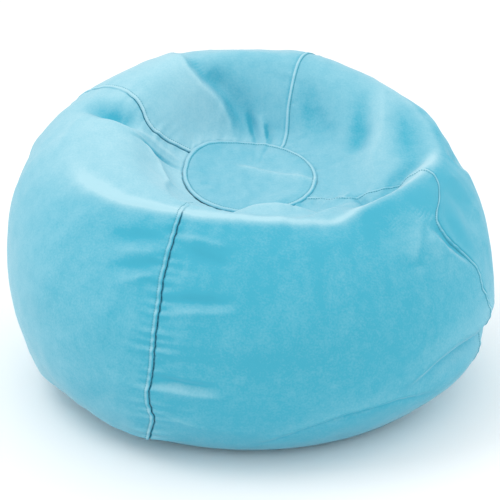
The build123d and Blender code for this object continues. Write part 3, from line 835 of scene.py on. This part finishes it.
# The liner's base: two pieces of the same weave, cut along the line of the liner's
# zip, which is sewn between them. It lies over the cover's base and its zip.
liner_base_radius = base_radius - 0.005
liner_zip_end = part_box("liner_zip_tape_back")[1]
liner_zip_y = (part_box("liner_zip_tape_front")[0].y + liner_zip_end.y) / 2
zip_end_room = 0.004
zip_cover_rise = 0.0125
zip_seat_level, zip_seat_rise = 0.0085, 0.0015
disc_shares = np.linspace(-1, 1, 80)
for name, side in (("liner_base_back", 1), ("liner_base_front", -1)):
    x, y = disc_grid(disc_shares, disc_shares, liner_base_radius)
    over_cover = liner_depth + hollow(x, y, hollow_reach, hollow_half, zip_cover_rise)
    over_own = hollow(x, y - liner_zip_y, liner_zip_end.x + zip_end_room, hollow_half, zip_seat_rise)
    level = np.maximum(base_level(x, y) + liner_depth, over_cover)
    level = np.maximum(level, zip_seat_level + over_own)
    liner_base = cloth_object(name + "_cloth", np.stack([x, y, level], axis=-1), liner_weave)
    shape = bmesh.new()
    shape.from_mesh(liner_base.data)
    parts = shape.verts[:] + shape.edges[:] + shape.faces[:]
    cut = (0, liner_zip_y, 0)
    bmesh.ops.bisect_plane(shape, geom=parts, plane_co=cut, plane_no=(0, -side, 0), clear_outer=True)
    for vertex in shape.verts:
        if abs(vertex.co.y - liner_zip_y) < 1e-5 and abs(vertex.co.x) < liner_zip_end.x - zip_end_room:
            vertex.co.y += side * slot_half
    shape.to_mesh(liner_base.data)
    shape.free()
    thicken(liner_base, liner_cloth)
    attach(liner_base, "bag")
    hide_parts(name)

# The two zips: woven tapes sewn inside the cloth, nylon coil teeth on their lower
# face, and a die-cast slider and stops. The cover's has a pull tab.
coil_pitch = 0.0025
coil_wire = 0.0004
coil_steps = 8
wedge_room = 0.0004
wedge_half = 0.0014
wedge_slim = 0.2
wedge_below, wedge_above = 0.0005, 0.0015
tape_thickness = 0.0005
tape_ripple = 0.00012
tape_lift = 0.00015
casting_ease, pull_ease = 0.0002, 0.00025


def woven_tape(name, tone_dark, tone_light):
    """A fine herringbone tape."""
    material, tree, shader = shader_of(name)
    ribs = pattern(tree, "Wave", 300)
    ribs.inputs["Distortion"].default_value = 1.5
    tone = two_tones(tree, ribs.outputs["Fac"], 0.2, tone_dark, 0.8, tone_light)
    tree.links.new(tone, shader.inputs["Base Color"])
    relief_bump(tree, ribs.outputs["Fac"], 0.5, 0.0003)
    shader.inputs["Roughness"].default_value = 0.85
    return material


def smooth_nylon(name, tone_dark, tone_light):
    """Drawn nylon wire, a little cloudy."""
    material, tree, shader = shader_of(name)
    tone = two_tones(tree, grain(tree, 400, 2), 0.3, tone_dark, 0.7, tone_light)
    tree.links.new(tone, shader.inputs["Base Color"])
    shader.inputs["Roughness"].default_value = 0.35
    shader.inputs["Coat Weight"].default_value = 0.2
    return material


zip_metal, tree, shader = shader_of("plated_zip_metal")
cloudy = grain(tree, 900, 4)
tone = two_tones(tree, cloudy, 0.3, (0.50, 0.50, 0.51), 0.7, (0.66, 0.66, 0.67))
tree.links.new(tone, shader.inputs["Base Color"])
relief_bump(tree, grain(tree, 2500, 2), 0.15, 0.0001)
shader.inputs["Metallic"].default_value = 1
shader.inputs["Roughness"].default_value = 0.32


def made(name, shape, material):
    """A smooth object of a finished shape, which is freed."""
    mesh = bpy.data.meshes.new(name)
    shape.to_mesh(mesh)
    shape.free()
    mesh.shade_smooth()
    mesh.materials.append(material)
    return placed(name, mesh)


def rounded_copy(node, name, width, material):
    """A CAD piece with its sharp edges eased."""
    shape = bmesh.new()
    shape.from_mesh(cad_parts[node].data)
    bmesh.ops.remove_doubles(shape, verts=shape.verts, dist=1e-6)
    flat_angle = math.radians(2)
    bmesh.ops.dissolve_limit(shape, angle_limit=flat_angle, verts=shape.verts, edges=shape.edges)
    piece = made(name, shape, material)
    eased = piece.modifiers.new("eased edges", "BEVEL")
    eased.width = width
    eased.segments = 2
    eased.limit_method = "ANGLE"
    eased.angle_limit = math.radians(40)
    return piece


def slim_wedge(casting, slider, teeth):
    """Draws the wedge between a slider's two plates thin, to pass between the closed rows."""
    low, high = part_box(slider)
    teeth_low, teeth_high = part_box(teeth)
    closing_line = (low.y + high.y) / 2
    for point in casting.data.vertices:
        between_plates = teeth_low.z - wedge_below < point.co.z < teeth_high.z + wedge_above
        if between_plates and abs(point.co.y - closing_line) < wedge_half:
            point.co.y = closing_line + wedge_slim * (point.co.y - closing_line)


def coil(name, node, slider, half_turn, material):
    """One row of coil teeth: nylon wire wound along a tape's edge, clear of the slider's wedge."""
    low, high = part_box(node)
    slider_low, slider_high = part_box(slider)
    closing_line = (slider_low.y + slider_high.y) / 2
    if low.y + high.y < 2 * closing_line:
        high.y = closing_line - wedge_room
    else:
        low.y = closing_line + wedge_room
    half_y, half_z = (high.y - low.y) / 2, (high.z - low.z) / 2
    shape = bmesh.new()
    start = Matrix.Translation((0, 0, half_z - coil_wire)) @ Matrix.Rotation(math.pi / 2, 4, "X")
    ring_made = bmesh.ops.create_circle(shape, segments=5, radius=coil_wire, matrix=start)
    bmesh.ops.spin(
        shape,
        geom=ring_made["verts"] + shape.edges[:],
        cent=(0, 0, 0),
        axis=(1, 0, 0),
        dvec=(coil_pitch / coil_steps, 0, 0),
        angle=2 * math.pi,
        steps=coil_steps,
        use_merge=False,
    )
    bmesh.ops.scale(shape, vec=(1, half_y / half_z, 1), verts=shape.verts)
    first_turn = (low + high) / 2
    first_turn.x = low.x + coil_pitch * (0.5 + half_turn / 2)
    bmesh.ops.translate(shape, vec=first_turn, verts=shape.verts)
    bmesh.ops.recalc_face_normals(shape, faces=shape.faces)
    piece = made(name, shape, material)
    winding = piece.modifiers.new("turns", "ARRAY")
    winding.count = int((high.x - low.x) / coil_pitch) - 1
    winding.use_relative_offset = False
    winding.use_constant_offset = True
    winding.constant_offset_displace = (coil_pitch, 0, 0)
    winding.use_merge_vertices = True
    winding.merge_threshold = join_distance
    return piece


zip_finishes = {
    "zip": (
        woven_tape("blue_zip_tape", (0.13, 0.42, 0.52), (0.20, 0.54, 0.65)),
        smooth_nylon("blue_zip_nylon", (0.16, 0.48, 0.58), (0.24, 0.58, 0.69)),
        "slider",
    ),
    "liner_zip": (
        woven_tape("white_zip_tape", (0.66, 0.66, 0.65), (0.80, 0.80, 0.78)),
        smooth_nylon("white_zip_nylon", (0.74, 0.74, 0.73), (0.85, 0.85, 0.84)),
        "liner_slider",
    ),
}
for prefix, (tape_weave, nylon, slider_body) in zip_finishes.items():
    for half_turn, row in enumerate(("front", "back")):
        node = f"{prefix}_tape_{row}"
        low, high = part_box(node)
        run, span = np.linspace(low.x, high.x, 160), np.linspace(low.y, high.y, 9)
        along, over = np.meshgrid(run, span, indexing="ij")
        ripple = tape_ripple * np.sin(along * 300) * np.cos(over * 500)
        sheet = np.stack([along, over, low.z + tape_lift + ripple], axis=-1)
        tape = cloth_object(node + "_weave", sheet, tape_weave)
        thicken(tape, tape_thickness)
        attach(tape, "bag")
        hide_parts(node)
        node = f"{prefix}_teeth_{row}"
        teeth = coil(node + "_coil", node, prefix + "_slider", half_turn, nylon)
        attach(teeth, "bag")
        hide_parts(node)
    for node, body in ((prefix + "_stops", "bag"), (prefix + "_slider", slider_body)):
        casting = rounded_copy(node, node + "_casting", casting_ease, zip_metal)
        if body != "bag":
            slim_wedge(casting, node, prefix + "_teeth_front")
        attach(casting, body)
        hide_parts(node)
pull = rounded_copy("zip_pull", "zip_pull_casting", pull_ease, zip_metal)
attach(pull, "pull")
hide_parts("zip_pull")

# The side panels: four gores of suede. Each one's far edge is folded over the next
# panel and stitched down, so a raised band stands beside a dark line at each seam,
# and the cloth is gathered into short creases there.
under_steps = np.array([-6, -4, -2.2, -0.8, 0.3, 1.1, 2.0, 3.0, 4.2, 5.7, 7.6, 10, 13, 17, 22, 28])
under_steps = under_steps / 1000
over_steps = np.array([0, 0.5, 1.1, 1.8, 2.7, 3.7, 4.8, 5.8, 6.7, 7.5, 8.4, 9.4, 10.8, 13, 16.5, 21, 28])
over_steps = over_steps / 1000
stitch_inset = 0.0067
stitch_index = 8
band_width = 0.0074
band_rise = 0.0015
edge_dip = 0.0010
stitch_pull = 0.0005
tuck_depth, tuck_reach = 0.0024, (0.0002, 0.0042)
seam_open = {
    "front_seam": ((0, 0.1), (0.24, 0.1), (0.27, 1), (1, 1)),
    "right_seam": (
        (0, 0.1), (0.265, 0.1), (0.285, 0.8), (0.31, 0.8), (0.33, 0.2), (0.375, 0.2), (0.4, 1), (1, 1),
    ),
    "back_seam": ((0, 0.1), (1, 0.1)),
    "left_seam": ((0, 0.9), (0.2, 0.9), (0.235, 0.1), (0.3, 0.4), (1, 0.6)),
}
seam_band = {
    "front_seam": ((0, 0.1), (0.25, 0.1), (0.30, 0.8), (1, 0.8)),
    "right_seam": ((0, 0.6), (0.25, 0.6), (0.3, 1), (1, 1)),
    "back_seam": ((0, 1), (1, 1)),
    "left_seam": ((0, 1), (1, 1)),
}
pucker_rise = {"front_seam": 0.0050, "right_seam": 0.0024, "back_seam": 0.0016, "left_seam": 0.0022}
pucker_reach = 0.022
hem_dip = 0.0016
hem_gather, cap_gather = 0.0022, 0.0020
gather_reach = 0.018
streak_fine, streak_long = 80, 13
gape_azimuth, gape_width = -147, 38
# painted shade inside the seams' gaps and under the cap's edge: how much darker, and how far it reaches
gap_painted_shade, gap_shade_reach = 0.6, (0.001, 0.005)
seam_shade = {"front_seam": 0.85, "right_seam": 0.4, "back_seam": 0.2, "left_seam": 0.3}
cap_shade, shade_reach = 0.3, (0.0006, 0.0030)
pucker_ends, stitch_ends = 0.03, 0.002


def over_relief(away):
    """The folded edge that lies on top at a seam, with its row of stitches pulled in."""
    across = np.clip(away / band_width, 0, 1)
    rise = band_rise * (4 * across * (1 - across)) ** 0.6
    edge = edge_dip * hump(0, 0.0010, away)
    return rise - edge - stitch_pull * hump(stitch_inset, 0.0010, away)


def band_painted_light(away):
    """The painted highlight that makes a raised band paler than the cloth beside it, and the painted
    shade along its row of stitches.
    """
    across = np.clip(away / band_width, 0, 1)
    return 1.3 * across * (1 - across) - 0.15 * hump(stitch_inset, 0.0011, away)


def under_relief(away, gap):
    """The cloth that passes under a folded edge, which stands off it where the seam gapes."""
    return -tuck_depth * gap * (1 - step(*tuck_reach, away))


def cap_gap(azimuth):
    """How far the cap's edge gapes: only on the left of the seat, towards the front."""
    return 0.1 + 0.8 * hump(0, gape_width, np.mod(azimuth - gape_azimuth + 180, 360) - 180)


def tilt_painted_light(tilt, up_share, left_share, darkest, palest):
    """Painted light: paler where the cloth tilts up and to the left, towards the key light, and painted
    shade where it tilts away.
    """
    return np.clip(up_share * tilt[..., 2] - left_share * tilt[..., 0], darkest, palest)


def streaks(run, away, seed):
    """Noise drawn out across a seam, for the short creases where cloth is gathered."""
    drawn = (run * streak_fine, away * streak_long, np.full(run.shape, seed))
    return rough(np.stack(drawn, axis=-1), 1, 0)


thread, tree, shader = shader_of("blue_thread")
cloudy = grain(tree, 700, 2)
tone = two_tones(tree, cloudy, 0.3, (0.05, 0.28, 0.37), 0.7, (0.09, 0.37, 0.47))
tree.links.new(tone, shader.inputs["Base Color"])
relief_bump(tree, grain(tree, 3000, 1), 0.3, 0.0002)
shader.inputs["Roughness"].default_value = 0.7
stitch_pitch = 0.0042
stitch_length, stitch_width, stitch_height = 0.0024, 0.0015, 0.0011
stitch_lift, stitch_ahead = 0.0002, 0.0008


def on_path(places, run, values):
    """Points, or ways to face, at places along a path's run."""
    return np.stack([np.interp(places, run, values[:, i]) for i in range(3)], axis=1)


def stitching(name, node, rows_of_stitches):
    """Separate thread stitches along paths, each path with the way its cloth faces."""
    shape = bmesh.new()
    bmesh.ops.create_uvsphere(shape, u_segments=6, v_segments=5, radius=0.5)
    one_stitch = bpy.data.meshes.new(name + "_one")
    shape.to_mesh(one_stitch)
    shape.clear()
    for path, facing in rows_of_stitches:
        run = run_along(path)
        places = np.arange(stitch_pitch / 2, run[-1], stitch_pitch)
        spots = on_path(places, run, path)
        ahead = on_path(places + stitch_ahead, run, path) - spots
        upward = on_path(places, run, facing)
        for spot, way, up in zip(spots, ahead, upward):
            way = Vector(way).normalized()
            up = Vector(up)
            up = (up - up.dot(way) * way).normalized()
            sides = way.cross(up) * stitch_width, up * stitch_height, way * stitch_length
            laid = Matrix(sides).transposed().to_4x4()
            laid.translation = Vector(spot) + stitch_lift * up
            one_stitch.transform(laid)
            shape.from_mesh(one_stitch)
            one_stitch.transform(laid.inverted())
    bpy.data.meshes.remove(one_stitch)
    bmesh.ops.recalc_face_normals(shape, faces=shape.faces)
    piece = made(name, shape, thread)
    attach(piece, "bag")
    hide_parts(node)


side_length = form_length.mean()
fine_rows = np.concatenate(
    [under_steps / side_length, np.linspace(0.045, 0.965, 300), 1 - over_steps[-3::-1] / side_length]
)
seam_names = list(seam_lines)
for k, name in enumerate(panel_names):
    # a grid with its columns close together by both seams
    count = columns_per_panel[k]
    first = seam_columns[k]
    strip = ring[(first + np.arange(count + 1)) % ring_count]
    width = np.interp(fine_rows, row_shares, np.linalg.norm(np.diff(strip, axis=0), axis=-1).sum(0))
    middle_steps = np.linspace(0, 1, count)[1:-1, None]
    near = np.broadcast_to(under_steps[:, None], (len(under_steps), len(fine_rows)))
    middle = under_steps[-1] + middle_steps * (width - under_steps[-1] - over_steps[-1])
    from_start = np.concatenate([near, middle, width - over_steps[::-1, None]])
    from_end = width - from_start
    down = np.broadcast_to(fine_rows, from_start.shape)
    column, row = first + count * from_start / width, down * (rows - 1)
    points, smooth = between(smooth_ring, column, row), between(smooth_facing, column, row)
    # the folds, then the band over the next panel and the tucks under the last one and the cap
    lift, tone = all_folds(points, smooth, down)
    points = points + lift[..., None] * smooth
    from_cap, from_base = down * side_length, (1 - down) * side_length
    this_seam, next_seam = seam_names[k], seam_names[(k + 1) % 4]
    this_gap = smooth_line(seam_open[this_seam], down)
    next_band = smooth_line(seam_band[next_seam], down)
    relief = next_band * over_relief(from_end) + under_relief(from_start, this_gap)
    azimuth = np.degrees(np.arctan2(points[..., 1], points[..., 0]))
    relief = relief + under_relief(from_cap, cap_gap(azimuth)) - hem_dip * hump(0, 0.0015, from_base)
    # short creases where the cloth is gathered, at the seams, the base and the cap
    clear_of_ends = step(0, pucker_ends, from_cap) * step(0, pucker_ends, from_base)
    for away, seam, seed in ((from_start, this_seam, k), (from_end, next_seam, (k + 1) % 4)):
        pucker = pucker_rise[seam] * np.exp(-np.abs(away) / pucker_reach) * clear_of_ends
        relief = relief + pucker * streaks(from_cap, away, 11.3 * seed + 2.7)
    gather = hem_gather * np.exp(-from_base / gather_reach) * step(0, 0.004, from_base)
    relief = relief + gather * streaks(from_start, from_base, 40.1 + k)
    gather = cap_gather * np.exp(-np.abs(from_cap) / gather_reach)
    relief = relief + gather * streaks(from_start, from_cap, 60.1 + k)
    points = points + relief[..., None] * normals_of(points)
    # painted light on the nap by its tilt, its folds and its raised band, and painted shade inside the
    # gaps
    facing = normals_of(points)
    tilt = facing - between(broad_facing, column, row)
    fade = between(ring_painted_light[..., None], column, row)[..., 0]
    fade = fade + tilt_painted_light(tilt, 0.5, 0.4, -0.4, 0.35) + tone
    fade = fade + next_band * band_painted_light(from_end)
    fade = fade - gap_painted_shade * this_gap * (1 - step(*gap_shade_reach, from_start))
    fade = fade - gap_painted_shade * cap_gap(azimuth) * (1 - step(*gap_shade_reach, from_cap))
    shade = seam_shade[this_seam] * this_gap * (1 - step(*shade_reach, from_start))
    shade = shade * np.clip(0.8 + 0.8 * streaks(3 * from_cap, from_start, 80.3 + k), 0.35, 1)
    shade = np.maximum(shade, cap_shade * cap_gap(azimuth) * (1 - step(*shade_reach, from_cap)))
    panel = cloth_object(name + "_cloth", points, cover_suede, fade=fade, shade=shade)
    thicken(panel, cloth)
    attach(panel, "bag")
    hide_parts(name)
    # the stitches along the folded edge
    sewn = len(points) - 1 - stitch_index
    inside = (from_cap[sewn] > stitch_ends) & (from_base[sewn] > stitch_ends)
    stitch_row = (points[sewn][inside], facing[sewn][inside])
    stitching(next_seam + "_stitches", next_seam + "_stitching", [stitch_row])

# The seat cap: a disc of the same suede, its edge folded under and stitched down
# over the panels' top ends. It has sunk a little and lies crumpled.
cap_turns = 300
cap_lean = math.atan(cap_rise)
cap_swell = 0.0030
cap_crumple, cap_fine = 0.0028, 0.0008
crease_rise, crease_reach = 0.0034, 0.006
crease_start, crease_end = np.array([-0.034, 0.042]), np.array([0.100, -0.013])
cap_highlight, crease_highlight = 0.26, 0.30

# its plane, drawn out to meet the panels' top ends
azimuths = np.linspace(-180, 180, cap_turns + 1)
edge = between(ring, column_at(azimuths, 0), np.zeros(cap_turns + 1))
cap_insets = np.concatenate([over_steps[:-1], np.linspace(0.022, cap_radius, 34)])
from_edge = np.broadcast_to(cap_insets, (cap_turns + 1, len(cap_insets)))
angle = np.broadcast_to(np.radians(azimuths)[:, None], from_edge.shape)
out = 1 - from_edge / cap_radius
x, y = cap_radius * out * np.cos(angle), cap_radius * out * np.sin(angle)
cap_points = np.stack([x, y, cap_middle + cap_rise * y], axis=-1)
cap_points = cap_points + (edge - cap_points[:, 0])[:, None] * out[..., None] ** 3

# its folded edge, a long crease and a crumple
relief = over_relief(from_edge) + cap_swell * hump(0.022, 0.020, from_edge)
crease = crease_end - crease_start
off = cap_points[..., :2] - crease_start
along = np.clip((off @ crease) / (crease @ crease), 0, 1)
away = np.linalg.norm(off - along[..., None] * crease, axis=-1)
creased = np.exp(-away / crease_reach) * step(0, 0.25, along)
relief = relief + crease_rise * creased
relief = relief + cap_crumple * rough(cap_points, 20, 5.0) * step(0, 0.02, from_edge)
relief = relief + cap_fine * rough(cap_points, 60, 9.0)
cap_points[..., 2] += relief
cap_points[-1] = cap_points[0]
# painted light on the cap: a painted highlight over all of it, more where it tilts up and to the left,
# along its crease and on its raised band, with painted shade where it tilts away and along its stitches
cap_facing = np.array([0, -math.sin(cap_lean), math.cos(cap_lean)])
tilt = normals_of(cap_points[:, ::-1])[:, ::-1] - cap_facing
cap_painted_light = cap_highlight + tilt_painted_light(tilt, 0.6, 0.5, -0.4, 0.4)
cap_painted_light = cap_painted_light + crease_highlight * creased + band_painted_light(from_edge)
cap_painted_light[:, -1] = cap_painted_light[:, -2].mean()
cap_sheet, cap_painted_light = cap_points[:, ::-1], cap_painted_light[:, ::-1]
cap = cloth_object("seat_cap_cloth", cap_sheet, cover_suede, closed=True, fade=cap_painted_light)
thicken(cap, cloth)
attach(cap, "bag")
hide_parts("seat_cap")
upward = np.broadcast_to((0.0, -cap_rise, 1.0), (cap_turns + 1, 3))
stitching("cap_stitches", "cap_stitching", [(cap_points[:, stitch_index], upward)])

# The last rows of stitches: round the base, just under its seam, and along both
# sides of the cover's zip.
base_stitch_inset = 0.0065
zip_stitch_inset = 0.00045
zip_stitch_steps = 200
angle = np.radians(np.linspace(0, 360, 361))
lean = base_slope - base_stitch_inset / bend_radius
out = np.stack([np.cos(angle), np.sin(angle), np.zeros(len(angle))], axis=1)
path = out * (flat_radius + bend_radius * math.sin(lean))
path[:, 2] = bend_radius * (1 - math.cos(lean))
facing = out * math.sin(lean) - np.array([0, 0, math.cos(lean)])
stitching("base_seam_stitches", "base_seam_stitching", [(path, facing)])

thread_low, thread_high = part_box("zip_stitching")
along = np.linspace(thread_low.x, thread_high.x, zip_stitch_steps)
zip_rows = []
for side in (thread_low.y + zip_stitch_inset, thread_high.y - zip_stitch_inset):
    path = np.zeros((zip_stitch_steps, 3)) + (0, side, thread_high.z + stitch_lift)
    path[:, 0] = along
    zip_rows.append((path, np.broadcast_to((0.0, 0.0, -1.0), path.shape)))
stitching("zip_stitches", "zip_stitching", zip_rows)
